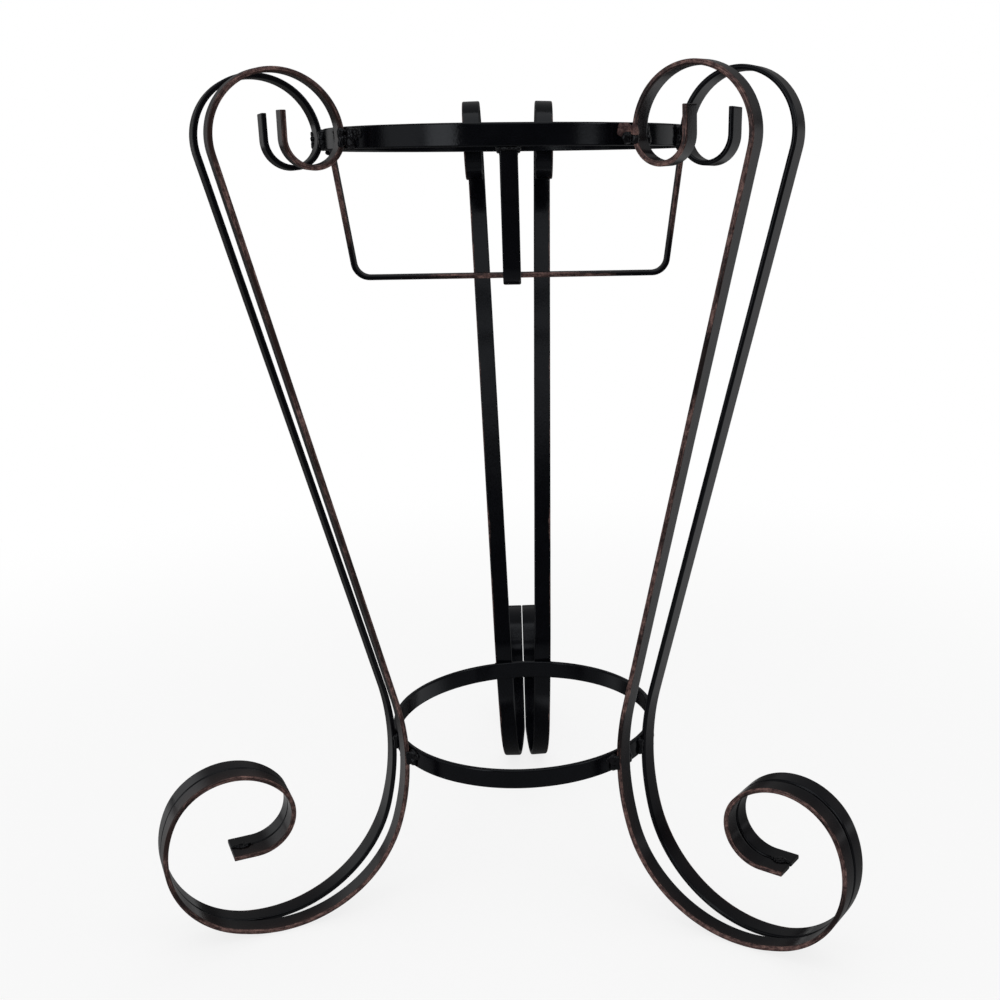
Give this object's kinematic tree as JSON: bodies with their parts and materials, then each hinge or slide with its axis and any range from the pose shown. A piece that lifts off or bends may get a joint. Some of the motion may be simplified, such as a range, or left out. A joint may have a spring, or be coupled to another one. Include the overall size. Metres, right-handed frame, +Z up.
{
  "type": "plant stand",
  "caption": "Welded flat-bar plant stand: a top ring and strap cradle hold the pot, a smaller ring ties the waist, and each leg is a pair of scrolled bars.",
  "frame": {"origin": "on the floor, on the common axis of the two rings", "axes": "+Z up; the back leg points along +Y; the picture was taken from the -Y side"},
  "size_m": [0.4378, 0.4106, 0.5347],
  "materials": {
    "frame_paint": "semi-gloss black paint with a worn copper tint on the outer edges",
    "cradle_paint": "semi-gloss black paint, slightly heat-tinted",
    "weld_paint": "rough painted weld beads"
  },
  "bodies": {
    "root": {"top_ring": "frame_paint", "bottom_ring": "frame_paint", "left_leg_front_bar": "frame_paint", "left_leg_rear_bar": "frame_paint", "right_leg_front_bar": "frame_paint", "right_leg_rear_bar": "frame_paint", "back_leg_left_bar": "frame_paint", "back_leg_right_bar": "frame_paint", "cradle_side_strap": "cradle_paint", "cradle_cross_strap": "cradle_paint", "left_leg_top_welds": "weld_paint", "right_leg_top_welds": "weld_paint", "back_leg_top_welds": "weld_paint", "left_leg_bottom_welds": "weld_paint", "right_leg_bottom_welds": "weld_paint", "back_leg_bottom_welds": "weld_paint", "left_foot_weld": "weld_paint", "right_foot_weld": "weld_paint", "back_foot_weld": "weld_paint", "cradle_rim_welds": "weld_paint", "cradle_cross_welds": "weld_paint"}
  },
  "joints": []
}
